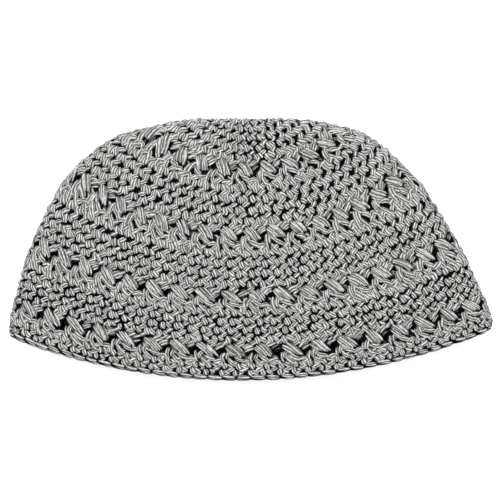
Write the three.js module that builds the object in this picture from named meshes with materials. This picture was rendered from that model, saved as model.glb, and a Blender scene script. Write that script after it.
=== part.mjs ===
import * as THREE from 'three';

// A hand-crocheted kippah lying flat on its back layer, in millimetres, +Z up.
// The crown fold points to +Y and the open rim to -Y. The front layer is the upper one.

// Main sizes
const wall = 3.6;
const foldRadius = 6.5;
const foldTurn = foldRadius * Math.PI / 2;
const topEdge = 66.2;
const crownBehindFold = 7;
const backShare = 0.896;
const crownShift = -1.5;

// The origin is the middle of the box around the cap, on the floor.
const middleOfBox = [0.3, -0.23];

// The stitches are this share closer together at the side folds than the mean, and that much wider
// apart in the middle of each layer.
const gather = 0.06;

// The top of the outline drops away from its middle by edgeDrop * distance ^ edgePower.
const edgeMiddle = -2;
const edgeDrop = 1.67e-6;
const edgePower = 3.8;

// A row is one round of the fabric, laid flat. reach: millimetres from the crown centre down the front.
// left and right: where the round turns over the side folds. turn: half the angle of its bow in degrees.
// height: the top of the fabric above the floor in the middle.
const rounds = [
  { reach: 0, left: [-1.6, 66.2], right: [-1.4, 66.2], turn: 86, height: 13 },
  { reach: 16.2, left: [-23.2, 65.9], right: [20.0, 66.4], turn: 88, height: 13.2 },
  { reach: 37.2, left: [-51.9, 62.0], right: [45.0, 63.2], turn: 84, height: 16.5 },
  { reach: 49.2, left: [-69.3, 56.4], right: [60.6, 56.9], turn: 66, height: 19 },
  { reach: 70.8, left: [-91.2, 38.9], right: [81.4, 39.0], turn: 48, height: 22 },
  { reach: 84.2, left: [-101.8, 21.7], right: [93.6, 22.6], turn: 40, height: 23.5 },
  { reach: 101.8, left: [-110.6, 3.0], right: [104.8, 4.2], turn: 32, height: 24 },
  { reach: 113.1, left: [-115.5, -11.6], right: [112.4, -10.9], turn: 26, height: 23.6 },
  { reach: 129.1, left: [-119.8, -27.8], right: [119.6, -26.6], turn: 24, height: 22.4 },
  { reach: 137.5, left: [-121.8, -37.6], right: [122.6, -34.6], turn: 22, height: 21.4 },
  { reach: 143.5, left: [-122.4, -44.8], right: [123.0, -41.0], turn: 20.5, height: 20.4 },
];
const rimReach = 143.5;

// The four openwork bands: clusters in the round, and the reach of their start, of the middle of the
// clusters, of the top and foot of the eyelets under them, and of their end. turned: how far the
// first eyelet stands to the right of the front middle, in eyelet widths. A cluster is three wide.
const bands = [
  { clusters: 24, turned: 1.5, start: 32.4, middle: 34.6, eyeTop: 36.6, eyeFoot: 39.4, end: 44.0 },
  { clusters: 36, turned: 0, start: 64.7, middle: 67.0, eyeTop: 69.2, eyeFoot: 72.0, end: 77.1 },
  { clusters: 38, turned: 0, start: 96.0, middle: 98.3, eyeTop: 100.4, eyeFoot: 103.2, end: 106.6 },
  { clusters: 38, turned: 0, start: 123.8, middle: 125.8, eyeTop: 127.8, eyeFoot: 130.6, end: 133.9 },
];
const puffHeight = 1.6;
const puffShoulder = 0.8;
const puffFoot = 1.1;
const eyeletBrow = 0.4;
const eyeletPinch = 0.11;
const edgingStart = 141.2;
const edgingGroove = 0.5;

// The crown rounds are ovals wrapped over the top fold. They pass into the laid-flat rounds
// between these two reaches.
const wrapUntil = 20;
const flatFrom = 52;
const crownWiden = 0.33;
const crownWidenBy = 37;

// The plain rings of the mesh over the crown, before the first band.
const crownRings = [
  { reach: 5.5, count: 24 },
  { reach: 13, count: 36 },
  { reach: 22.5, count: 48 },
];

// Where the rings of the plain rounds after each band stand, as shares of the way to the next band.
const plainRings = [[0.33, 0.67], [0.5], [0.5]];

const halfSteps = 60;

function smoothStep(from, to, value) {
  const t = Math.min(1, Math.max(0, (value - from) / (to - from)));
  return t * t * (3 - 2 * t);
}

// One number of the rounds table at any reach, on a smooth curve through its rows.
function tableAt(reach, column) {
  const last = rounds.length - 1;
  let low = 0;
  while (low < last - 1 && reach > rounds[low + 1].reach) low += 1;
  const slope = (k) => {
    const before = Math.max(0, k - 1);
    const after = Math.min(last, k + 1);
    return (column(rounds[after]) - column(rounds[before])) / (rounds[after].reach - rounds[before].reach);
  };
  const span = rounds[low + 1].reach - rounds[low].reach;
  const t = (reach - rounds[low].reach) / span;
  const t2 = t * t;
  const t3 = t2 * t;
  return (2 * t3 - 3 * t2 + 1) * column(rounds[low])
    + (t3 - 2 * t2 + t) * span * slope(low)
    + (3 * t2 - 2 * t3) * column(rounds[low + 1])
    + (t3 - t2) * span * slope(low + 1);
}

// How far inside the top edge a point lies that is so far round the fold, and how far off mid height.
function roundFold(along) {
  const length = Math.abs(along);
  const side = Math.sign(along);
  if (length < foldTurn) {
    const angle = length / foldRadius;
    return { inside: foldRadius * (1 - Math.cos(angle)), off: side * foldRadius * Math.sin(angle) };
  }
  return { inside: foldRadius + length - foldTurn, off: side * foldRadius };
}

function topEdgeAt(x) {
  return topEdge - edgeDrop * Math.abs(x - edgeMiddle) ** edgePower;
}

// A point of a crown round, side -1 or 1, part 0 at the front and 1 at the back.
function crownPoint(reach, side, part) {
  const angle = part * Math.PI;
  const widen = 1 + crownWiden * Math.min(1, reach / crownWidenBy);
  const forward = Math.cos(angle);
  const along = -crownBehindFold + reach * forward * (forward > 0 ? 1 : backShare);
  const x = crownShift + side * reach * widen * Math.sin(angle);
  const fold = roundFold(along);
  const lift = along > foldTurn ? (along - foldTurn) * 0.17 : 0;
  return new THREE.Vector3(x, topEdgeAt(x) - fold.inside, foldRadius + fold.off + lift);
}

// A point of a laid-flat round: the first half of part is on the front layer, the rest on the back.
function flatPoint(reach, side, part) {
  const left = [tableAt(reach, (r) => r.left[0]), tableAt(reach, (r) => r.left[1])];
  const right = [tableAt(reach, (r) => r.right[0]), tableAt(reach, (r) => r.right[1])];
  const turn = THREE.MathUtils.degToRad(tableAt(reach, (r) => r.turn));
  const height = tableAt(reach, (r) => r.height);
  const front = part < 0.5;
  const share = front ? part * 2 : 2 - part * 2;
  const across = side * Math.sin(share * Math.PI / 2);
  const halfWidth = (right[0] - left[0]) / 2;
  const x = (left[0] + right[0]) / 2 + halfWidth * Math.sin(turn * across) / Math.sin(turn);
  const bow = (Math.cos(turn * across) - Math.cos(turn)) / (1 - Math.cos(turn));
  const along = front ? reach - crownBehindFold : -crownBehindFold - reach * backShare;
  const middle = topEdge - roundFold(along).inside;
  const chord = (left[1] + right[1]) / 2 + across * (right[1] - left[1]) / 2;
  const y = chord + (middle - (left[1] + right[1]) / 2) * bow;
  const inside = Math.min(foldRadius, halfWidth * (1 - Math.abs(across)));
  const off = Math.sqrt(Math.max(0, foldRadius ** 2 - (foldRadius - inside) ** 2));
  const puff = (height - 2 * foldRadius) * (1 - Math.abs(across) ** 2.5);
  return new THREE.Vector3(x, y, front ? foldRadius + off + puff : foldRadius - off);
}

// Half a round as a line of points spaced evenly along it.
function evenHalf(point) {
  const steps = halfSteps * 4;
  const line = [];
  for (let i = 0; i <= steps; i += 1) line.push(point(i / steps));
  const lengths = [0];
  for (let i = 1; i <= steps; i += 1) lengths.push(lengths[i - 1] + line[i].distanceTo(line[i - 1]));
  const total = lengths[steps];
  const even = [];
  let at = 0;
  for (let i = 0; i <= halfSteps; i += 1) {
    const want = total * i / halfSteps;
    while (at < steps - 1 && lengths[at + 1] < want) at += 1;
    const span = lengths[at + 1] - lengths[at];
    even.push(line[at].clone().lerp(line[at + 1], span > 0 ? (want - lengths[at]) / span : 0));
  }
  return even;
}

const kept = new Map();

// The whole round: points spaced evenly, from the middle of the front over the right fold to the
// back, over the left fold and to the front again.
function roundLine(reach) {
  const key = reach.toFixed(3);
  if (kept.has(key)) return kept.get(key);
  const weight = smoothStep(wrapUntil, flatFrom, reach);
  const halves = [1, -1].map((side) => {
    const wrapped = evenHalf((part) => crownPoint(reach, side, part));
    const flat = evenHalf((part) => flatPoint(reach, side, part));
    return wrapped.map((p, i) => p.lerp(flat[i], weight));
  });
  const line = [...halves[0], ...halves[1].reverse().slice(1, -1)];
  kept.set(key, line);
  return line;
}

function surfacePoint(reach, share) {
  const line = roundLine(reach);
  const gathered = share + gather * Math.sin(4 * Math.PI * share) / (4 * Math.PI);
  const place = (gathered - Math.floor(gathered)) * line.length;
  const at = Math.floor(place);
  return line[at % line.length].clone().lerp(line[(at + 1) % line.length], place - at);
}

function surfaceNormal(reach, share) {
  const step = 1;
  const around = surfacePoint(reach, share + 0.004).sub(surfacePoint(reach, share - 0.004));
  const low = Math.max(0.5, reach - step);
  const high = Math.min(rimReach, reach + step);
  const down = surfacePoint(high, share).sub(surfacePoint(low, share));
  return around.cross(down).normalize().negate();
}

// The rings of the mesh: reach, number of columns, where the first column stands in columns from the
// front middle, and how far the outer face rises at a cluster's middle and beside its eyelet.
function meshRings() {
  const start = (bands[0].turned - 0.5) / (bands[0].clusters * 3);
  const rings = crownRings.map(({ reach, count }) => ({ reach, count, first: start * count, rise: [0, 0] }));
  bands.forEach((band, k) => {
    const count = band.clusters * 3;
    const first = band.turned - 0.5;
    rings.push({ reach: band.start, count, first, rise: [0, 0] });
    rings.push({ reach: band.middle, count, first, rise: [puffHeight, puffShoulder] });
    const eye = { count, first, pinched: true };
    rings.push({ reach: band.eyeTop, rise: [puffFoot, eyeletBrow], eyelets: true, ...eye });
    rings.push({ reach: band.eyeFoot, rise: [eyeletBrow, 0], ...eye });
    rings.push({ reach: band.end, count, first, rise: [0, 0] });
    if (k < bands.length - 1) {
      const next = bands[k + 1];
      const place = { count: next.clusters * 3, first: next.turned - 0.5, rise: [0, 0] };
      for (const share of plainRings[k]) {
        rings.push({ reach: band.end + share * (next.start - band.end), ...place });
      }
    }
  });
  const last = bands[bands.length - 1];
  const count = last.clusters * 3;
  const first = last.turned - 0.5;
  rings.push({ reach: edgingStart, count, first, rise: [-edgingGroove, -edgingGroove] });
  rings.push({ reach: rimReach, count, first, rise: [0, 0] });
  return rings;
}

function columnShare(ring, column) {
  const pinch = ring.pinched ? [eyeletPinch, -eyeletPinch, 0][column % 3] : 0;
  return (column + ring.first + pinch) / ring.count;
}

function fabricGeometry() {
  const positions = [];
  const faces = [];
  const add = (p) => {
    positions.push(p.x, p.y, p.z);
    return positions.length / 3 - 1;
  };
  const rings = meshRings();
  for (const ring of rings) {
    ring.outer = [];
    ring.inner = [];
    for (let c = 0; c < ring.count; c += 1) {
      const share = columnShare(ring, c);
      const p = surfacePoint(ring.reach, share);
      const n = surfaceNormal(ring.reach, share);
      const upward = smoothStep(-0.1, 0.7, n.z);
      const rise = ring.rise[c % 3 === 2 ? 0 : 1];
      ring.outer.push(add(p.clone().addScaledVector(n, rise * upward)));
      ring.inner.push(add(p.clone().addScaledVector(n, -wall)));
    }
  }
  const crown = surfacePoint(0.01, 0);
  const crownNormal = surfaceNormal(3, 0);
  const crownOuter = add(crown);
  const crownInner = add(crown.clone().addScaledVector(crownNormal, -wall));
  const first = rings[0];
  for (let c = 0; c < first.count; c += 1) {
    const next = (c + 1) % first.count;
    faces.push(crownOuter, first.outer[c], first.outer[next]);
    faces.push(crownInner, first.inner[next], first.inner[c]);
  }
  for (let r = 0; r < rings.length - 1; r += 1) strip(rings[r], rings[r + 1], faces);
  const rim = rings[rings.length - 1];
  for (let c = 0; c < rim.count; c += 1) {
    const next = (c + 1) % rim.count;
    faces.push(rim.outer[c], rim.inner[c], rim.inner[next]);
    faces.push(rim.outer[c], rim.inner[next], rim.outer[next]);
  }
  const geometry = new THREE.BufferGeometry();
  geometry.setAttribute('position', new THREE.Float32BufferAttribute(positions, 3));
  geometry.setIndex(faces);
  geometry.translate(-middleOfBox[0], -middleOfBox[1], 0);
  geometry.computeVertexNormals();
  return geometry;
}

// Both faces of the fabric between two rings, which may have different numbers of columns.
function strip(upper, lower, faces) {
  const side = (a, b, c, outside) => {
    if (outside) faces.push(a, b, c);
    else faces.push(a, c, b);
  };
  const same = upper.count === lower.count;
  for (const layer of ['outer', 'inner']) {
    const outside = layer === 'outer';
    const top = upper[layer];
    const foot = lower[layer];
    let i = 0;
    let j = 0;
    while (i < upper.count || j < lower.count) {
      const hole = same && upper.eyelets && i % 3 === 0;
      const nextTop = i < upper.count ? columnShare(upper, i + 1) : 2;
      const nextFoot = j < lower.count ? columnShare(lower, j + 1) : 2;
      const a = top[i % upper.count];
      const b = foot[j % lower.count];
      if (hole) {
        if (outside) eyeletWalls(upper, lower, i, faces);
        i += 1;
        j += 1;
      } else if (same) {
        const c = foot[(j + 1) % lower.count];
        const d = top[(i + 1) % upper.count];
        side(a, b, c, outside);
        side(a, c, d, outside);
        i += 1;
        j += 1;
      } else if (nextFoot <= nextTop) {
        side(a, b, foot[(j + 1) % lower.count], outside);
        j += 1;
      } else {
        side(a, b, top[(i + 1) % upper.count], outside);
        i += 1;
      }
    }
  }
}

// The four sides of one eyelet, through the fabric.
function eyeletWalls(upper, lower, column, faces) {
  const next = (column + 1) % upper.count;
  const loop = [
    [upper, column], [upper, next], [lower, next], [lower, column],
  ];
  loop.forEach(([ring, c], k) => {
    const [ring2, c2] = loop[(k + 1) % 4];
    const a = ring.outer[c];
    const b = ring2.outer[c2];
    const d = ring.inner[c];
    const e = ring2.inner[c2];
    faces.push(a, d, e, a, e, b);
  });
}

const group = new THREE.Group();
const yarn = new THREE.MeshStandardMaterial({ color: 0xa9a8a5, roughness: 0.9, metalness: 0 });
yarn.name = 'cotton_yarn';
const cap = new THREE.Mesh(fabricGeometry(), yarn);
cap.name = 'cap';
group.add(cap);

export default group;
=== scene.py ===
import bpy
import bmesh
import math
import numpy as np
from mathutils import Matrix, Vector


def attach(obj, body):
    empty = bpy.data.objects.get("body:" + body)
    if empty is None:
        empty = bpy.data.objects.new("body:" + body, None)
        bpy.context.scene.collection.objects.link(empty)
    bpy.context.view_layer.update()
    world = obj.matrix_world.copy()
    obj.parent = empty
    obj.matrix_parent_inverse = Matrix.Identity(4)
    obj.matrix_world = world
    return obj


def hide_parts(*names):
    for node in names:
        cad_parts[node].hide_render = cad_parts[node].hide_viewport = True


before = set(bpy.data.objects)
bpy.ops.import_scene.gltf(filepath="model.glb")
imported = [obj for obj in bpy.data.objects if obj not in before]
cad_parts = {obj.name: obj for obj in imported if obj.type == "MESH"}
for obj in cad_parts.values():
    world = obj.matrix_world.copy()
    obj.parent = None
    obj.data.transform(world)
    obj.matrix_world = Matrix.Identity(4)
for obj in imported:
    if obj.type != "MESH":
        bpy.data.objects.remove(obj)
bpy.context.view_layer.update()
mm = 0.001
rng = np.random.default_rng(7)


# camera: straight down on the flattened cap, long lens, frame 252.5 mm wide at fold height
photoCamera = {"lens": 200, "sensor": 36, "frameWidth": 252.5, "planeZ": 8, "x": -0.3, "y": -0.25}


def makeCamera():
    data = bpy.data.cameras.new("photo_camera")
    data.lens = photoCamera["lens"]
    data.sensor_width = photoCamera["sensor"]
    data.clip_end = 20
    cam = bpy.data.objects.new("photo_camera", data)
    distance = photoCamera["frameWidth"] / photoCamera["sensor"] * photoCamera["lens"]
    cam.location = (photoCamera["x"] * mm, photoCamera["y"] * mm, (distance + photoCamera["planeZ"]) * mm)
    bpy.context.scene.collection.objects.link(cam)
    bpy.context.scene.camera = cam


makeCamera()
print("camera set")


# the laid-flat cap, as in the solid: millimetres, reach counted from the crown centre
sizes = {
    "wall": 3.6, "foldRadius": 6.5, "topEdge": 66.2, "crownBehindFold": 7, "backShare": 0.896,
    "crownShift": -1.5, "edgeMiddle": -2, "edgeDrop": 1.67e-6, "edgePower": 3.8, "gather": 0.06,
    "wrapUntil": 20, "flatFrom": 52, "crownWiden": 0.33, "crownWidenBy": 37, "crownRise": 0.17,
    "puffPower": 2.5, "middleX": 0.3, "middleY": -0.23,
}
foldTurn = sizes["foldRadius"] * math.pi / 2

# reach, left fold x y, right fold x y, half angle of the bow, height in the middle
rounds = np.array([
    (0, -1.6, 66.2, -1.4, 66.2, 86, 13),
    (16.2, -23.2, 65.9, 20.0, 66.4, 88, 13.2),
    (37.2, -51.9, 62.0, 45.0, 63.2, 84, 16.5),
    (49.2, -69.3, 56.4, 60.6, 56.9, 66, 19),
    (70.8, -91.2, 38.9, 81.4, 39.0, 48, 22),
    (84.2, -101.8, 21.7, 93.6, 22.6, 40, 23.5),
    (101.8, -110.6, 3.0, 104.8, 4.2, 32, 24),
    (113.1, -115.5, -11.6, 112.4, -10.9, 26, 23.6),
    (129.1, -119.8, -27.8, 119.6, -26.6, 24, 22.4),
    (137.5, -121.8, -37.6, 122.6, -34.6, 22, 21.4),
    (143.5, -122.4, -44.8, 123.0, -41.0, 20.5, 20.4),
])


def smoothStep(low, high, value):
    t = np.clip((value - low) / (high - low), 0, 1)
    return t * t * (3 - 2 * t)


def tableAt(reach):
    # a smooth curve through the rows of the table
    at = rounds[:, 0]
    low = int(np.clip(np.searchsorted(at, reach) - 1, 0, len(at) - 2))

    def slope(k):
        before = max(0, k - 1)
        after = min(len(at) - 1, k + 1)
        return (rounds[after] - rounds[before]) / (at[after] - at[before])

    span = at[low + 1] - at[low]
    t = (reach - at[low]) / span
    row = ((2 * t ** 3 - 3 * t ** 2 + 1) * rounds[low] + (t ** 3 - 2 * t ** 2 + t) * span * slope(low)
           + (3 * t ** 2 - 2 * t ** 3) * rounds[low + 1] + (t ** 3 - t ** 2) * span * slope(low + 1))
    return row[1:]


def roundFold(along):
    # fabric that runs over the top fold: how far it lies inside the edge, and above the fold's middle
    length = np.abs(along)
    side = np.sign(along)
    radius = sizes["foldRadius"]
    angle = np.minimum(length / radius, math.pi / 2)
    inside = radius * (1 - np.cos(angle)) + np.maximum(0, length - foldTurn)
    return inside, side * radius * np.sin(angle)


def crownHalf(reach, side, part):
    # half of a small round, wrapped over the top fold
    angle = part * math.pi
    forward = np.cos(angle)
    widen = 1 + sizes["crownWiden"] * min(1, reach / sizes["crownWidenBy"])
    share = np.where(forward > 0, 1, sizes["backShare"])
    along = -sizes["crownBehindFold"] + reach * forward * share
    x = sizes["crownShift"] + side * reach * widen * np.sin(angle)
    inside, off = roundFold(along)
    edge = sizes["topEdge"] - sizes["edgeDrop"] * np.abs(x - sizes["edgeMiddle"]) ** sizes["edgePower"]
    lift = np.maximum(0, along - foldTurn) * sizes["crownRise"]
    return np.stack([x, edge - inside, sizes["foldRadius"] + off + lift], 1)


def flatHalf(reach, side, part):
    # half of a large round, from the middle of the front to the side fold and back underneath
    leftX, leftY, rightX, rightY, turn, height = tableAt(reach)
    turn = math.radians(turn)
    front = part < 0.5
    share = np.where(front, part * 2, 2 - part * 2)
    across = side * np.sin(share * math.pi / 2)
    halfWidth = (rightX - leftX) / 2
    x = (leftX + rightX) / 2 + halfWidth * np.sin(turn * across) / math.sin(turn)
    bow = (np.cos(turn * across) - math.cos(turn)) / (1 - math.cos(turn))
    along = -sizes["crownBehindFold"] + reach * np.where(front, 1, -sizes["backShare"])
    middle = sizes["topEdge"] - roundFold(along)[0]
    chord = (leftY + rightY) / 2
    y = chord + across * (rightY - leftY) / 2 + (middle - chord) * bow
    radius = sizes["foldRadius"]
    inside = np.minimum(radius, halfWidth * (1 - np.abs(across)))
    off = np.sqrt(np.maximum(0, radius ** 2 - (radius - inside) ** 2))
    puff = (height - 2 * radius) * (1 - np.abs(across) ** sizes["puffPower"])
    z = np.where(front, radius + off + puff, radius - off)
    return np.stack([x, y, z], 1)


def evenLine(line, count):
    lengths = np.concatenate([[0], np.cumsum(np.linalg.norm(np.diff(line, axis=0), axis=1))])
    want = np.linspace(0, lengths[-1], count)
    return np.stack([np.interp(want, lengths, line[:, k]) for k in range(3)], 1)


def roundLine(reach, halfSteps=180):
    part = np.linspace(0, 1, halfSteps * 4 + 1)
    weight = float(smoothStep(sizes["wrapUntil"], sizes["flatFrom"], reach))
    halves = []
    for side in (1, -1):
        wrapped = evenLine(crownHalf(reach, side, part), halfSteps + 1)
        flat = evenLine(flatHalf(reach, side, part), halfSteps + 1)
        halves.append(wrapped * (1 - weight) + flat * weight)
    return np.concatenate([halves[0], halves[1][::-1][1:-1]])


# the surface is worked out once on a grid: mm of reach, and places round the cap
grid = {"step": 0.5, "last": 146, "around": 720, "drawnLeast": 0.85, "drawnMost": 1.25}


def makeSurface():
    reaches = np.arange(grid["step"], grid["last"] + 0.01, grid["step"])
    shares = np.arange(grid["around"]) / grid["around"]
    gathered = shares + sizes["gather"] * np.sin(4 * math.pi * shares) / (4 * math.pi)
    points = np.zeros((len(reaches), len(shares), 3))
    for i, reach in enumerate(reaches):
        line = roundLine(reach)
        closed = np.concatenate([line, line[:1]])
        place = gathered * len(line)
        for k in range(3):
            points[i, :, k] = np.interp(place, np.arange(len(closed)), closed[:, k])
    around = np.roll(points, -2, 1) - np.roll(points, 2, 1)
    down = np.gradient(points, axis=0)
    normals = -np.cross(around, down)
    normals /= np.linalg.norm(normals, axis=2, keepdims=True)
    steps = np.linalg.norm(np.roll(points, -1, 1) - points, axis=2)
    girths = steps.sum(1)
    # how far the fabric is drawn out at a place, which the yarn there has to fill
    drawn = np.linalg.norm(down, axis=2) / grid["step"] * steps * len(shares) / girths[:, None]
    return reaches, points, normals, girths, np.clip(np.sqrt(drawn), grid["drawnLeast"], grid["drawnMost"])


surfaceReaches, surfacePoints, surfaceNormals, surfaceGirths, surfaceDrawn = makeSurface()
print("surface ready")


def onSurface(reach, share, lift):
    # the place on the cap at a lift in mm along the fabric's normal, that normal, and how drawn out it is
    row = np.clip((reach - surfaceReaches[0]) / grid["step"], 0, len(surfaceReaches) - 1.001)
    column = (share % 1) * grid["around"]
    i = row.astype(int)
    j = column.astype(int) % grid["around"]
    fi = (row - i)[..., None]
    fj = (column - np.floor(column))[..., None]
    j2 = (j + 1) % grid["around"]

    def mix(values):
        top = values[i, j] * (1 - fj) + values[i, j2] * fj
        foot = values[i + 1, j] * (1 - fj) + values[i + 1, j2] * fj
        return top * (1 - fi) + foot * fi

    normal = mix(surfaceNormals)
    normal /= np.linalg.norm(normal, axis=-1, keepdims=True)
    return mix(surfacePoints) + normal * lift[..., None], normal, mix(surfaceDrawn[..., None])[..., 0]


# cotton yarn: matt light grey, its plies laid side by side as fine light lines with painted shade in the
# grooves between them; where a strand dives into the fabric it is painted near black as its shadow
yarnLook = {
    "light": "#adadab", "grooveShade": "#464645", "paintedShadow": "#030303", "roughness": 0.9, "specular": 0.04,
    "shadowFrom": 1.46, "shadowFull": 1.02, "bump": 0.2,
}


def linearColour(code):
    parts = [int(code[i:i + 2], 16) / 255 for i in (1, 3, 5)]
    return [p / 12.92 if p <= 0.04045 else ((p + 0.055) / 1.055) ** 2.4 for p in parts] + [1]


def addNode(tree, kind, settings=None, links=None):
    # a setting or link is named by the node's own property, or by the name or number of an input
    node = tree.nodes.new(kind)
    for name, value in (settings or {}).items():
        if isinstance(name, str) and hasattr(node, name):
            setattr(node, name, value)
        else:
            node.inputs[name].default_value = value
    for name, source in (links or {}).items():
        tree.links.new(source, node.inputs[name])
    return node


def makeYarn(name, look):
    mat = bpy.data.materials.new(name)
    mat.use_nodes = True
    tree = mat.node_tree
    shader = tree.nodes["Principled BSDF"]
    shader.inputs["Roughness"].default_value = look["roughness"]
    shader.inputs["Specular IOR Level"].default_value = look["specular"]
    uv = addNode(tree, "ShaderNodeUVMap", {"uv_map": "yarn"})
    depth = addNode(tree, "ShaderNodeAttribute", {"attribute_name": "depth"})
    tone = addNode(tree, "ShaderNodeAttribute", {"attribute_name": "tone"})
    # uv x counts plies round the strand, uv y runs along it in mm
    parts = addNode(tree, "ShaderNodeSeparateXYZ", {}, {0: uv.outputs["UV"]})
    # the lines wander a little, as soft plies do
    drift = addNode(tree, "ShaderNodeTexNoise", {"Scale": 0.9, "Detail": 1}, {"Vector": uv.outputs["UV"]})
    shifted = addNode(
        tree, "ShaderNodeMath", {"operation": "MULTIPLY_ADD", 1: 0.5},
        {0: drift.outputs["Fac"], 2: parts.outputs["X"]},
    )
    fullTurn = {"operation": "MULTIPLY", 1: 2 * math.pi}
    turn = addNode(tree, "ShaderNodeMath", fullTurn, {0: shifted.outputs[0]})
    wave = addNode(tree, "ShaderNodeMath", {"operation": "COSINE"}, {0: turn.outputs[0]})
    ply = addNode(
        tree, "ShaderNodeMapRange", {"interpolation_type": "SMOOTHSTEP", "From Min": -1.0, "From Max": 0.8},
        {"Value": wave.outputs[0]},
    )
    # painted shade: between the plies the colour goes over to a dark grey
    shade = addNode(
        tree, "ShaderNodeMix",
        {"data_type": "RGBA", 6: linearColour(look["grooveShade"]), 7: linearColour(look["light"])},
        {0: ply.outputs[0]},
    )
    # fibres lie along the yarn, about 0.1 mm apart and a few mm long
    stretch = addNode(tree, "ShaderNodeMapping", {"Scale": (7, 0.7, 1)}, {"Vector": uv.outputs["UV"]})
    fibre = addNode(
        tree, "ShaderNodeTexNoise", {"Scale": 1.0, "Detail": 3, "Roughness": 0.6},
        {"Vector": stretch.outputs[0]},
    )
    fibreTone = addNode(
        tree, "ShaderNodeMapRange", {"From Min": 0.3, "From Max": 0.7, "To Min": 0.8, "To Max": 1.12},
        {"Value": fibre.outputs["Fac"]},
    )
    # and the shade is flecked, a millimetre or so at a time
    fleckStretch = addNode(tree, "ShaderNodeMapping", {"Scale": (1.3, 0.6, 1)}, {"Vector": uv.outputs["UV"]})
    fleck = addNode(
        tree, "ShaderNodeTexNoise", {"Scale": 1.0, "Detail": 2, "Roughness": 0.6},
        {"Vector": fleckStretch.outputs[0]},
    )
    fleckTone = addNode(
        tree, "ShaderNodeMapRange", {"From Min": 0.32, "From Max": 0.68, "To Min": 0.62, "To Max": 1.25},
        {"Value": fleck.outputs["Fac"]},
    )
    product = {"operation": "MULTIPLY"}
    fineTones = addNode(tree, "ShaderNodeMath", product, {0: fibreTone.outputs[0], 1: fleckTone.outputs[0]})
    bothTones = addNode(tree, "ShaderNodeMath", product, {0: fineTones.outputs[0], 1: tone.outputs["Fac"]})
    lit = addNode(
        tree, "ShaderNodeVectorMath", {"operation": "SCALE"},
        {0: shade.outputs[2], "Scale": bothTones.outputs[0]},
    )
    # the depth attribute is the distance in mm from the middle of the fabric's thickness; towards that
    # middle the colour is painted over to near black as shadow
    near = addNode(
        tree, "ShaderNodeMapRange",
        {"interpolation_type": "SMOOTHSTEP", "From Min": look["shadowFull"], "From Max": look["shadowFrom"]},
        {"Value": depth.outputs["Fac"]},
    )
    colour = addNode(
        tree, "ShaderNodeMix", {"data_type": "RGBA", 6: linearColour(look["paintedShadow"])},
        {0: near.outputs[0], 7: lit.outputs[0]},
    )
    tree.links.new(colour.outputs[2], shader.inputs["Base Color"])
    bump = addNode(
        tree, "ShaderNodeBump", {"Strength": 0.8, "Distance": look["bump"] * mm},
        {"Height": ply.outputs[0]},
    )
    tree.links.new(bump.outputs["Normal"], shader.inputs["Normal"])
    return mat


yarn = makeYarn("cotton yarn", yarnLook)


def strandTemplate(sides, stations):
    # one closed tube, a ring of vertices at every whole z
    bm = bmesh.new()
    bmesh.ops.create_circle(bm, segments=sides, radius=1, cap_ends=True)
    face = bm.faces[:]
    for _ in range(stations - 1):
        pushed = bmesh.ops.extrude_face_region(bm, geom=face)
        moved = [v for v in pushed["geom"] if isinstance(v, bmesh.types.BMVert)]
        bmesh.ops.translate(bm, verts=moved, vec=(0, 0, 1))
        grown = [f for f in pushed["geom"] if isinstance(f, bmesh.types.BMFace)]
        if face[0].is_valid and len(bm.faces) > sides + 2:
            bmesh.ops.delete(bm, geom=face, context="FACES_ONLY")
        face = grown
    bmesh.ops.recalc_face_normals(bm, faces=bm.faces[:])
    bm.verts.index_update()
    places = np.array([v.co[:] for v in bm.verts])
    faces = [[v.index for v in f.verts] for f in bm.faces]
    bm.free()
    angle = np.arctan2(places[:, 1], places[:, 0])
    turn = np.round((angle - angle[0]) / (2 * math.pi) * sides) % sides
    # bmesh lists them in any order, so they are numbered along and round the tube
    number = (np.round(places[:, 2]) * sides + turn).astype(int)
    faces = [[int(number[k]) for k in f] for f in faces]
    faces = sorted(f[f.index(min(f)):] + f[:f.index(min(f))] for f in faces)
    numbers = np.arange(sides * stations)
    return {
        "sides": sides, "stations": stations, "faces": faces,
        "turn": numbers % sides, "station": numbers // sides,
    }


# the hand of the maker: rounds and stitches wander smoothly by a few tenths of a millimetre
wander = {
    "waves": 9, "size": 0.05, "around": (12, 46), "down": (0.1, 0.55),
    "fullFrom": 40, "calmAt": 146, "calmOver": 12, "calmLeast": 0.2,
}
waves = {
    "around": rng.integers(*wander["around"], (2, wander["waves"])),
    "down": rng.uniform(*wander["down"], (2, wander["waves"])),
    "start": rng.uniform(0, 6.28, (2, wander["waves"])),
}


def wanderAt(reach, share, way):
    # way 0 moves a stitch down the cap and way 1 round it; the crown centre and the rim stay calmer
    total = 0
    for k in range(wander["waves"]):
        around = 2 * math.pi * waves["around"][way, k] * share
        total = total + np.sin(around + waves["down"][way, k] * reach + waves["start"][way, k])
    calm = np.clip((wander["calmAt"] - reach) / wander["calmOver"], wander["calmLeast"], 1)
    return total * wander["size"] * np.clip(reach / wander["fullFrom"], 0, 1) * calm


# tubes with fine sides face up, coarser ones lie under and inside the cap
templates = {"front": strandTemplate(10, 9), "back": strandTemplate(6, 6), "inner": strandTemplate(6, 4)}
# widths in mm; real plies are finer than these, which are drawn as wide as the picture needs to show them
strandForm = {
    "plyWidth": (1.15, 1.5), "plies": (3, 12), "flatten": 0.85, "twist": 0.12, "tableGap": 0.03,
    "uvStart": 50, "tone": (0.88, 1.06), "rimLine": 141.1,
}


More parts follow.
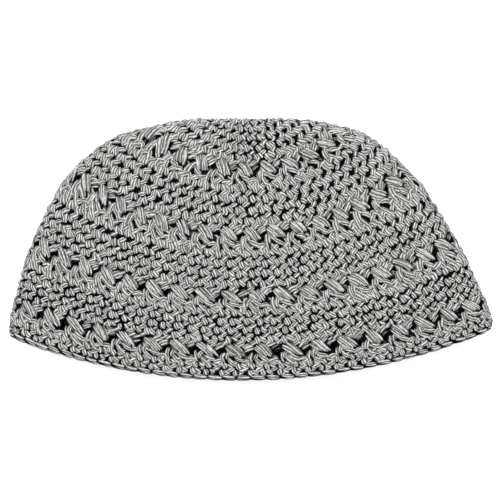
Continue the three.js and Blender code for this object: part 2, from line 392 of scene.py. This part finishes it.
def curveThrough(points, count):
    # smooth curve through control points (..., controls, values) at count even steps
    controls = points.shape[-2]
    at = np.linspace(0, controls - 1, count)
    low = np.minimum(at.astype(int), controls - 2)
    t = (at - low)[:, None]
    p1 = points[..., low, :]
    p2 = points[..., low + 1, :]
    before = points[..., np.maximum(low - 1, 0), :]
    after = points[..., np.minimum(low + 2, controls - 1), :]
    p0 = np.where((low > 0)[:, None], before, 2 * p1 - p2)
    p3 = np.where((low < controls - 2)[:, None], after, 2 * p2 - p1)
    square = (2 * p0 - 5 * p1 + 4 * p2 - p3) * t ** 2
    cube = (3 * p1 - p0 - 3 * p2 + p3) * t ** 3
    return 0.5 * (2 * p1 + (p2 - p0) * t + square + cube)


class Bundle:
    # strands collected for one piece
    def __init__(self):
        self.parts = []

    def add(self, reach, share, lift, radius, kind, shade=1):
        # one row of control values a strand: reach in mm, share of the round, lift and radius in mm
        template = templates[kind]
        sides, stations, turn, station = (template[k] for k in ("sides", "stations", "turn", "station"))
        line = curveThrough(np.stack([reach, share, lift, radius], -1), stations)
        strands = len(line)
        girth = np.interp(line[..., 0], surfaceReaches, surfaceGirths)
        reaches = line[..., 0] + wanderAt(line[..., 0], line[..., 1], 0)
        shares = line[..., 1] + wanderAt(line[..., 0], line[..., 1], 1) / girth
        centre, normal, drawn = onSurface(reaches, shares, line[..., 2])
        tangent = np.gradient(centre, axis=1)
        tangent /= np.linalg.norm(tangent, axis=2, keepdims=True)
        side = np.cross(tangent, normal)
        side /= np.linalg.norm(side, axis=2, keepdims=True)
        up = np.cross(side, tangent)
        twist = rng.uniform(0, 6.28, (strands, 1)) + strandForm["twist"] * station
        angle = 2 * math.pi * turn / sides + twist
        thick = (line[..., 3] * drawn)[:, station]
        across = np.cos(angle) * thick
        above = np.sin(angle) * thick * strandForm["flatten"]
        verts = centre[:, station] + side[:, station] * across[..., None] + up[:, station] * above[..., None]
        # soft yarn is pressed flat where the cap lies on the table
        verts[..., 2] = np.maximum(verts[..., 2], strandForm["tableGap"])
        gone = np.cumsum(np.linalg.norm(np.diff(centre, axis=1), axis=2), axis=1)
        along = np.concatenate([np.zeros((strands, 1)), gone], 1)[:, station]
        along = along + rng.uniform(0, strandForm["uvStart"], (strands, 1))
        plyWidths = rng.uniform(*strandForm["plyWidth"], strands)
        plies = np.clip(np.round(2 * math.pi * line[..., 3].max(1) / plyWidths), *strandForm["plies"])
        # the depth attribute sets the painted shadow, darkest at the middle of the fabric's thickness; past
        # the rim line the edging is lit all round and is not shaded
        inFabric = np.abs(line[..., 2][:, station] + above + sizes["wall"] / 2)
        pastRim = line[..., 0][:, station] - strandForm["rimLine"]
        self.parts.append({
            "template": template, "verts": verts, "along": along, "plies": plies[:, None],
            "depth": np.maximum(inFabric, pastRim),
            "tone": np.repeat(rng.uniform(*strandForm["tone"], (strands, 1)), len(turn), 1) * shade,
        })

    def build(self, name):
        # thousands of equal small tubes, so they are joined to one mesh as arrays
        verts, depth, tone, loops, corners, uvs = [], [], [], [], [], []
        offset = 0
        for part in self.parts:
            strands, each = part["verts"].shape[:2]
            faces = part["template"]["faces"]
            sides = part["template"]["sides"]
            flat = np.concatenate([np.array(f) for f in faces])
            turn = part["template"]["turn"][flat].astype(float)
            # the faces that close the tube end at a whole round in uv, not at nought
            start = 0
            for f in faces:
                here = turn[start:start + len(f)]
                if len(f) == 4 and here.max() - here.min() > sides / 2:
                    here[here == 0] = sides
                start += len(f)
            verts.append(part["verts"].reshape(-1, 3))
            depth.append(part["depth"].ravel())
            tone.append(part["tone"].ravel())
            loops.append((offset + np.arange(strands)[:, None] * each + flat[None]).ravel())
            corners.append(np.tile([len(f) for f in faces], strands))
            plyAt = turn[None] / sides * part["plies"]
            uvs.append(np.stack([plyAt, part["along"][:, flat]], -1).reshape(-1, 2))
            offset += strands * each
        places = np.concatenate(verts) - [sizes["middleX"], sizes["middleY"], 0]
        corners = np.concatenate(corners)
        mesh = bpy.data.meshes.new(name)
        mesh.vertices.add(offset)
        mesh.vertices.foreach_set("co", (places * mm).ravel())
        mesh.loops.add(int(corners.sum()))
        mesh.loops.foreach_set("vertex_index", np.concatenate(loops))
        mesh.polygons.add(len(corners))
        mesh.polygons.foreach_set("loop_start", np.concatenate([[0], np.cumsum(corners)[:-1]]))
        mesh.polygons.foreach_set("use_smooth", np.ones(len(corners), bool))
        for key, values in (("depth", depth), ("tone", tone)):
            mesh.attributes.new(key, "FLOAT", "POINT").data.foreach_set("value", np.concatenate(values))
        mesh.uv_layers.new(name="yarn").data.foreach_set("uv", np.concatenate(uvs).ravel())
        mesh.update(calc_edges=True)
        mesh.validate()
        mesh.materials.append(yarn)
        piece = bpy.data.objects.new(name, mesh)
        bpy.context.scene.collection.objects.link(piece)
        print(name, "triangles", int((corners - 2).sum()))
        return piece


# one single crochet. Its strands by across and down, in stitch widths and row heights from the
# middle of the left leg, then lift and radius in mm for a stitch 6 mm wide
stitch = {
    "leftLeg": [
        (-0.03, -0.35, -2.7, 1.00), (-0.02, -0.25, -1.6, 1.32), (0.0, -0.06, -1.05, 1.45),
        (0.02, 0.06, -1.1, 1.45), (0.03, 0.15, -1.7, 1.28), (0.03, 0.20, -2.7, 0.95),
    ],
    "rightLeg": [
        (0.25, -0.46, -2.7, 0.90), (0.29, -0.37, -1.7, 1.15), (0.39, -0.20, -1.2, 1.3),
        (0.48, -0.05, -1.25, 1.3), (0.54, 0.03, -1.8, 1.15), (0.57, 0.07, -2.7, 0.85),
    ],
    "bar": [
        (0.42, -0.36, -2.5, 0.85), (0.49, -0.41, -1.7, 1.12), (0.62, -0.51, -1.25, 1.26),
        (0.77, -0.61, -1.25, 1.26), (0.88, -0.68, -1.7, 1.12), (0.93, -0.72, -2.6, 0.85),
    ],
}
innerBar = [
    (-0.52, 0.10, -2.3, 0.70), (-0.20, -0.02, -2.75, 0.85), (0.20, -0.02, -2.75, 0.85),
    (0.52, 0.10, -2.3, 0.70),
]
unevenness = {"across": 0.034, "down": 0.036, "lift": 0.12, "radius": 0.06, "place": 0.02}
# strands are drawn for a stitch of this size in mm and scaled to each round's own. Each round leans back
# by a share of a stitch, as crochet in the round does
stitchForm = {"wide": 6, "high": 5, "full": 1.02, "most": 1.12, "lean": 0.2, "firstAfterBand": 0.15}

# a cluster and its eyelet: across in cluster widths and down in mm from the eyelet's middle
cluster = {
    "wrap1": [
        (0.13, -4.1, -2.4, 0.55), (0.18, -3.3, -1.4, 0.70), (0.32, -1.5, -1.0, 0.76),
        (0.46, 0.3, -1.4, 0.70), (0.49, 0.9, -2.4, 0.55),
    ],
    "wrap2": [
        (0.18, -5.2, -2.4, 0.55), (0.23, -4.3, -1.2, 0.70), (0.41, -1.9, -0.8, 0.76),
        (0.57, 0.5, -1.2, 0.70), (0.60, 1.2, -2.4, 0.55),
    ],
    "wrap3": [
        (0.26, -5.7, -2.4, 0.55), (0.32, -4.8, -1.1, 0.70), (0.52, -2.0, -0.7, 0.76),
        (0.67, 0.7, -1.1, 0.70), (0.70, 1.4, -2.4, 0.55),
    ],
    "wrap4": [
        (0.36, -5.8, -2.4, 0.55), (0.42, -4.9, -1.2, 0.70), (0.62, -2.0, -0.8, 0.76),
        (0.77, 0.7, -1.2, 0.70), (0.80, 1.5, -2.4, 0.55),
    ],
    "wrap5": [
        (0.46, -5.5, -2.4, 0.55), (0.52, -4.7, -1.4, 0.70), (0.71, -1.9, -1.0, 0.76),
        (0.85, 0.8, -1.4, 0.70), (0.88, 1.5, -2.4, 0.55),
    ],
    "under": [
        (0.10, -2.9, -2.5, 0.80), (0.20, -1.4, -1.8, 1.10), (0.38, 1.1, -1.6, 1.20),
        (0.52, 2.5, -2.3, 0.90),
    ],
    "top": [
        (0.52, -3.4, -2.3, 0.80), (0.64, -4.3, -1.6, 1.10), (0.78, -5.1, -1.5, 1.15),
        (0.90, -5.7, -2.3, 0.80),
    ],
    "rearBar": [
        (0.00, -5.1, -2.5, 0.75), (0.05, -5.4, -1.7, 1.00), (0.11, -5.9, -1.3, 1.12),
        (0.18, -6.4, -1.3, 1.12), (0.24, -6.9, -2.5, 0.80),
    ],
    "rearBarNext": [
        (0.49, -5.1, -2.5, 0.75), (0.54, -5.4, -1.7, 1.00), (0.60, -5.9, -1.3, 1.12),
        (0.68, -6.4, -1.3, 1.12), (0.74, -6.9, -2.5, 0.80),
    ],
    "browHigh": [
        (-0.30, -3.5, -2.3, 0.70), (-0.23, -4.1, -1.6, 0.95), (-0.11, -5.0, -1.4, 1.00),
        (0.02, -5.6, -1.6, 0.95), (0.09, -6.0, -2.4, 0.70),
    ],
    "browMiddle": [
        (-0.27, -2.1, -2.3, 0.65), (-0.20, -2.8, -1.4, 0.88), (-0.07, -3.8, -1.2, 0.92),
        (0.08, -4.4, -1.5, 0.88), (0.15, -4.7, -2.4, 0.65),
    ],
    "browLow": [
        (-0.21, -1.0, -2.4, 0.60), (-0.14, -1.8, -1.5, 0.82), (-0.02, -2.7, -1.3, 0.86),
        (0.10, -3.2, -1.6, 0.82), (0.18, -3.3, -2.4, 0.60),
    ],
    "hook": [
        (0.15, -1.0, -2.3, 0.60), (0.10, -0.1, -1.4, 0.85), (0.05, 1.7, -1.1, 0.90),
        (0.08, 3.6, -1.3, 0.85), (0.18, 5.0, -2.2, 0.60),
    ],
    "cheek": [
        (0.36, -1.1, -2.3, 0.80), (0.27, -0.3, -1.5, 1.10), (0.20, 1.2, -1.2, 1.2),
        (0.19, 2.7, -1.7, 1.00), (0.19, 3.6, -2.4, 0.70),
    ],
    "thick": [
        (0.22, 1.9, -2.2, 0.80), (0.27, 2.7, -1.4, 1.15), (0.37, 4.0, -1.1, 1.25),
        (0.48, 5.1, -1.4, 1.1), (0.55, 5.8, -2.3, 0.70),
    ],
    "round": [
        (0.37, 0.5, -2.3, 0.80), (0.46, 1.3, -1.5, 1.20), (0.60, 2.3, -1.2, 1.35),
        (0.73, 3.0, -1.6, 1.15), (0.79, 3.5, -2.4, 0.80),
    ],
    "chin": [
        (0.76, 1.2, -2.4, 0.70), (0.84, 1.6, -1.8, 0.92), (0.95, 2.2, -1.7, 0.96),
        (1.05, 2.6, -2.4, 0.70),
    ],
    "level": [
        (0.64, 3.7, -2.2, 0.75), (0.73, 3.3, -1.4, 1.00), (0.87, 2.9, -1.2, 1.10),
        (1.00, 3.0, -1.4, 1.00), (1.09, 3.6, -2.2, 0.75),
    ],
    "legLeft": [
        (0.00, 3.0, -2.4, 0.80), (0.00, 3.7, -1.5, 1.15), (0.01, 4.8, -1.3, 1.25),
        (0.02, 5.6, -2.5, 0.90),
    ],
    "legRight": [
        (0.86, 3.7, -2.4, 0.80), (0.87, 4.4, -1.5, 1.15), (0.89, 5.2, -1.3, 1.25),
        (0.91, 6.0, -2.5, 0.90),
    ],
    "foot": [
        (0.48, 3.6, -2.2, 0.60), (0.55, 4.6, -1.4, 0.85), (0.64, 5.4, -1.6, 0.85),
        (0.76, 5.8, -2.3, 0.70),
    ],
}
# yarn over the eyelets that are drawn nearly shut. A band lists those of the front which stay open,
# counted from the middle with the right positive; behind, about half of them do
drawnShut = {
    "right": [
        (-0.15, -1.6, -2.5, 0.70), (-0.08, -1.0, -1.7, 1.00), (0.01, -0.1, -1.5, 1.08),
        (0.06, 1.0, -1.7, 1.00), (0.07, 1.8, -2.5, 0.70),
    ],
    "left": [
        (-0.24, -0.9, -2.5, 0.65), (-0.18, -0.2, -1.8, 0.95), (-0.09, 0.8, -1.6, 1.02),
        (-0.03, 1.9, -1.8, 0.95), (-0.01, 2.6, -2.5, 0.65),
    ],
}
# loops on the inner face, two to a cluster
clusterBack = [
    (-0.30, -1.6, -2.3, 0.7), (-0.12, 0.4, -2.8, 0.85), (0.12, 0.4, -2.8, 0.85),
    (0.30, -1.6, -2.3, 0.7),
]
# clusters: width they are drawn for and offsets in mm, how uneven a whole one and its points are in
# the order of a strand's four values, and where in a cluster's width its inner loops stand
clusterForm = {
    "wide": 12.4, "lower": 0.5, "stretchBy": 4, "lift": 0.22, "shade": 0.94, "sway": 0.012, "tall": 0.06,
    "strand": (0.012, 0.2, 0.12, 0.05), "point": (0.010, 0.15, 0.10, 0.03),
    "shut": (0.012, 0.2, 0.12, 0.03), "shutBehind": 0.5,
    "inner": (0.012, 0.2, 0.1, 0), "innerAt": (0.34, 0.66),
}

# rounds from the crown centre to the rim: where they start and end, their stitches, and how full
# their strands are. A band's eye is the reach of its eyelets, turned in thirds of a cluster
crownRounds = {"start": 0, "end": 33.6, "counts": (6, 12, 18, 24, 29, 34, 38), "full": 1.10}
bands = [
    {"clusters": 24, "turned": 1.5, "eye": 38.0, "end": 44.0, "full": 1.10,
     "open": [0, 3]},
    {"clusters": 36, "turned": 0, "eye": 70.6, "end": 77.1, "full": 1.13,
     "open": [-8, -5, 0, 1, 6, 7]},
    {"clusters": 38, "turned": 0, "eye": 101.8, "end": 107.0, "full": 1.06,
     "open": [*range(-9, -2), -1, 5, 8]},
    {"clusters": 38, "turned": 0, "eye": 129.2, "end": 134.2, "full": 1.02,
     "open": [*range(-9, 6), 7, 9]},
]
plainRounds = [
    {"start": 44.0, "end": 66.2, "counts": (52, 56, 60, 64), "full": 1.09},
    {"start": 77.1, "end": 97.4, "counts": (74, 76, 76, 76), "full": 1.08},
    {"start": 107.0, "end": 124.8, "counts": (76, 76, 76, 76), "full": 1.06},
    {"start": 134.2, "end": 140.8, "counts": (76, 76), "full": 1.12},
]


def frontAndBack(share):
    # the finer strands go on the side that faces up, a little more than half of each round
    frontHalf = 0.27
    wrapped = share % 1
    front = (wrapped < frontHalf) | (wrapped > 1 - frontHalf)
    return (("front", front), ("back", ~front))


def addStitches(outer, inner, count, start, end, first, full):
    high = end - start
    middle = (start + end) / 2
    width = np.interp(middle, surfaceReaches, surfaceGirths) / count
    size = math.sqrt(width / stitchForm["wide"] * high / stitchForm["high"])
    fit = stitchForm["full"] * full * min(stitchForm["most"], size)
    share = (np.arange(count) + first + rng.normal(0, unevenness["place"], count)) / count
    spread = np.array([unevenness["across"], unevenness["down"], unevenness["lift"], 0])
    for kind, chosen in frontAndBack(share):
        at = share[chosen][:, None]
        for strand in stitch.values():
            points = np.array(strand) + rng.normal(0, 1, (len(at), 1, 4)) * spread
            points = points + rng.normal(0, 0.5, (len(at), len(strand), 4)) * spread
            scale = fit * (1 + rng.normal(0, unevenness["radius"], (len(at), 1)))
            reach = middle + points[..., 1] * high
            outer.add(reach, at + points[..., 0] / count, points[..., 2], points[..., 3] * scale, kind)
    at = share[:, None]
    points = np.array(innerBar) + rng.normal(0, 0.5, (count, len(innerBar), 4)) * spread
    reach = middle + points[..., 1] * high
    inner.add(reach, at + points[..., 0] / count, points[..., 2], points[..., 3] * fit, "inner")


def addClusters(outer, inner, band):
    form = clusterForm
    count = band["clusters"]
    width = np.interp(band["eye"], surfaceReaches, surfaceGirths) / count
    fit = band["full"] * min(1, math.sqrt(width / form["wide"]))
    # the brows hide the upper part of each hole, so the strands lie a little lower than its middle
    middle = band["eye"] + form["lower"]
    below = (band["end"] - middle) / form["stretchBy"]
    share = (np.arange(count) + band["turned"] / 3) / count
    sway = rng.normal(0, form["sway"], count)
    tall = rng.normal(1, form["tall"], count)
    for kind, chosen in frontAndBack(share + 0.5 / count):
        at = share[chosen][:, None]
        for strand in cluster.values():
            points = np.array(strand) + rng.normal(0, 1, (len(at), 1, 4)) * form["strand"]
            points = points + rng.normal(0, 1, (len(at), len(strand), 4)) * form["point"]
            points[..., 0] += sway[chosen][:, None] * (points[..., 1] + 1)
            points[..., 1] *= tall[chosen][:, None]
            # the lower strands reach down to the next plain round
            down = points[..., 1] * (1 + (below - 1) * np.clip(points[..., 1] / form["stretchBy"], 0, 1))
            place = at + points[..., 0] / count
            lift = points[..., 2] + form["lift"]
            outer.add(middle + down, place, lift, points[..., 3] * fit, kind, form["shade"])
    number = (np.arange(count) + count // 2) % count - count // 2
    behind = np.abs(number) > count / 4
    shutBehind = rng.random(count) < form["shutBehind"]
    shut = share[np.where(behind, shutBehind, ~np.isin(number, band["open"]))]
    for kind, chosen in frontAndBack(shut):
        for strand in drawnShut.values():
            points = np.array(strand) + rng.normal(0, 1, (chosen.sum(), len(strand), 4)) * form["shut"]
            reach = middle + points[..., 1]
            place = shut[chosen][:, None] + points[..., 0] / count
            outer.add(reach, place, points[..., 2], points[..., 3] * fit, kind, form["shade"])
    for turn in form["innerAt"]:
        points = np.array(clusterBack) + rng.normal(0, 1, (count, len(clusterBack), 4)) * form["inner"]
        place = share[:, None] + turn / count + points[..., 0] / count
        inner.add(band["eye"] + points[..., 1], place, points[..., 2], points[..., 3], "inner")


def addRounds(outer, inner, rounds, first):
    high = (rounds["end"] - rounds["start"]) / len(rounds["counts"])
    for i, count in enumerate(rounds["counts"]):
        start = rounds["start"] + i * high
        addStitches(outer, inner, count, start, start + high, first - stitchForm["lean"] * i, rounds["full"])


pieces = []
innerLoops = Bundle()

crown = Bundle()
addRounds(crown, innerLoops, crownRounds, 0)
pieces.append(crown.build("crown_rounds"))

for i, (band, rounds) in enumerate(zip(bands, plainRounds)):
    openwork = Bundle()
    addClusters(openwork, innerLoops, band)
    pieces.append(openwork.build("openwork_band_%d" % (i + 1)))
    plain = Bundle()
    addRounds(plain, innerLoops, rounds, stitchForm["firstAfterBand"])
    if i < 3:
        pieces.append(plain.build("plain_rounds_%d" % (i + 1)))

# slip-stitch edging, strands laid along the rim over the last plain rounds: across in stitch widths,
# then reach, lift and radius in mm
edging = {
    "upper": [
        (-0.16, 140.6, -2.4, 0.50), (0.04, 140.8, -1.4, 0.82), (0.45, 141.2, -0.9, 0.92),
        (0.86, 141.5, -1.1, 0.86), (1.10, 141.8, -2.3, 0.50),
    ],
    "lower": [
        (-0.12, 142.0, -2.4, 0.50), (0.20, 142.2, -1.8, 0.82), (0.75, 142.4, -1.7, 0.86),
        (1.08, 142.4, -2.3, 0.50),
    ],
    "join": [
        (0.08, 140.9, -2.4, 0.70), (0.20, 140.3, -1.5, 0.95), (0.42, 139.5, -1.3, 1.00),
        (0.56, 139.0, -2.3, 0.70),
    ],
    "inside": [
        (-0.1, 141.8, -3.0, 0.7), (0.3, 142.1, -2.8, 0.9), (0.7, 141.9, -2.7, 0.9),
        (1.1, 141.2, -2.3, 0.7),
    ],
}
edgingForm = {"count": 76, "place": 0.03, "uneven": (0.03, 0.12, 0.08, 0)}
edgingCount = edgingForm["count"]
share = (np.arange(edgingCount) + rng.normal(0, edgingForm["place"], edgingCount)) / edgingCount
for strand in edging.values():
    points = np.array(strand) + rng.normal(0, 1, (edgingCount, len(strand), 4)) * edgingForm["uneven"]
    place = share[:, None] + points[..., 0] / edgingCount
    plain.add(points[..., 1], place, points[..., 2], points[..., 3], "front")
pieces.append(plain.build("rim_rounds_and_edging"))
pieces.append(innerLoops.build("inner_loops"))

print("stitches done")


# a thin closed sheet in the middle of the fabric's thickness, painted near black as the shadow seen in the
# gaps between stitches, with the eyelets left open. Each zone has its steps round the cap, its reaches and
# its band; lifts and the least height over the table are in mm
core = {
    "lifts": (-1.55, -2.05), "lowest": 0.1, "eyeHalf": 1.1,
    "zones": [
        {"count": 192, "reaches": [3, 12, 22, 30, 36.4, 39.6, 44, 50], "band": bands[0]},
        {"count": 288, "reaches": [50, 57, 64, 69.2, 72.1, 77, 84, 90], "band": bands[1]},
        {"count": 304, "reaches": [90, 95, 100.4, 103.3, 107, 113, 118], "band": bands[2]},
        {"count": 304, "reaches": [118, 123, 127.8, 130.6, 134, 138, 140.6], "band": bands[3]},
    ],
}


def addZone(bm, zone):
    count, reaches, band = zone["count"], zone["reaches"], zone["band"]
    share = np.arange(count) / count
    layers = []
    for lift in core["lifts"]:
        rows = []
        for reach in reaches:
            p, _, _ = onSurface(np.full(count, float(reach)), share, np.full(count, lift))
            p[:, 2] = np.maximum(p[:, 2], core["lowest"])
            p[:, 0] -= sizes["middleX"]
            p[:, 1] -= sizes["middleY"]
            rows.append([bm.verts.new(Vector(q) * mm) for q in p])
        layers.append(rows)
    last = len(reaches) - 1
    eyeRow = [k for k in range(last) if reaches[k] < band["eye"] < reaches[k + 1]][0]
    per = count // band["clusters"]
    centre = band["turned"] / 3 * per

    def filled(r, c):
        if not 0 <= r < last:
            return False
        place = (c + 0.5 - centre) % per
        return r != eyeRow or min(place, per - place) >= core["eyeHalf"]

    a, b = layers
    for r in range(last):
        for c in range(count):
            if not filled(r, c):
                continue
            d = (c + 1) % count
            bm.faces.new([a[r][c], a[r + 1][c], a[r + 1][d], a[r][d]])
            bm.faces.new([b[r][d], b[r + 1][d], b[r + 1][c], b[r][c]])
            # walls where the sheet ends at an eyelet or at the zone's edge
            if not filled(r + 1, c):
                bm.faces.new([a[r + 1][c], b[r + 1][c], b[r + 1][d], a[r + 1][d]])
            if not filled(r - 1, c):
                bm.faces.new([a[r][d], b[r][d], b[r][c], a[r][c]])
            if not filled(r, d):
                bm.faces.new([a[r][d], a[r + 1][d], b[r + 1][d], b[r][d]])
            if not filled(r, (c - 1) % count):
                bm.faces.new([a[r][c], b[r][c], b[r + 1][c], a[r + 1][c]])


def makeCore():
    bm = bmesh.new()
    for zone in core["zones"]:
        addZone(bm, zone)
    loose = [v for v in bm.verts if not v.link_faces]
    bmesh.ops.delete(bm, geom=loose, context="VERTS")
    bmesh.ops.recalc_face_normals(bm, faces=bm.faces[:])
    mesh = bpy.data.meshes.new("shadow_sheet")
    bm.to_mesh(mesh)
    bm.free()
    # depth nought paints the whole sheet in the near-black shadow colour
    for key, value in (("depth", 0.0), ("tone", 1.0)):
        layer = mesh.attributes.new(key, "FLOAT", "POINT")
        layer.data.foreach_set("value", np.full(len(mesh.vertices), value, np.float32))
    mesh.uv_layers.new(name="yarn")
    mesh.materials.append(yarn)
    piece = bpy.data.objects.new("shadow_sheet", mesh)
    bpy.context.scene.collection.objects.link(piece)
    print("shadow_sheet faces", len(mesh.polygons))
    return piece


pieces.append(makeCore())

for piece in pieces:
    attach(piece, "root")
    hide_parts("cap")


# pale matt table, a little under the cap; sizes in metres
floorLook = {"colour": "#f8f8f8", "roughness": 0.8, "half": 1.5, "drop": 0.0002}


def makeFloor():
    bm = bmesh.new()
    bmesh.ops.create_grid(bm, x_segments=2, y_segments=2, size=floorLook["half"])
    bmesh.ops.translate(bm, verts=bm.verts[:], vec=(0, 0, -floorLook["drop"]))
    mesh = bpy.data.meshes.new("floor")
    bm.to_mesh(mesh)
    bm.free()
    mat = bpy.data.materials.new("pale floor")
    mat.use_nodes = True
    shader = mat.node_tree.nodes["Principled BSDF"]
    shader.inputs["Base Color"].default_value = linearColour(floorLook["colour"])
    shader.inputs["Roughness"].default_value = floorLook["roughness"]
    mesh.materials.append(mat)
    floor = bpy.data.objects.new("floor", mesh)
    bpy.context.scene.collection.objects.link(floor)


# wide soft light from overhead, a weaker one from the rim's side and a bright white room; metres and watts
lights = {
    "overhead": {"place": (-0.15, 0.65, 1.2), "size": 1.2, "power": 19},
    "fill": {"place": (0.2, -0.9, 0.9), "size": 1.2, "power": 7},
}
room = {"colour": "#ffffff", "strength": 1.25}


def makeLight(name, look):
    data = bpy.data.lights.new(name, "AREA")
    data.shape = "DISK"
    data.size = look["size"]
    data.energy = look["power"]
    lamp = bpy.data.objects.new(name, data)
    lamp.location = look["place"]
    lamp.rotation_euler = (-Vector(look["place"])).to_track_quat("-Z", "Y").to_euler()
    bpy.context.scene.collection.objects.link(lamp)


def makeRoom():
    world = bpy.data.worlds.new("studio")
    world.use_nodes = True
    background = world.node_tree.nodes["Background"]
    background.inputs["Color"].default_value = linearColour(room["colour"])
    background.inputs["Strength"].default_value = room["strength"]
    bpy.context.scene.world = world


makeFloor()
for name, look in lights.items():
    makeLight(name, look)
makeRoom()
bpy.context.scene.view_settings.view_transform = "Standard"
print("floor and light set")
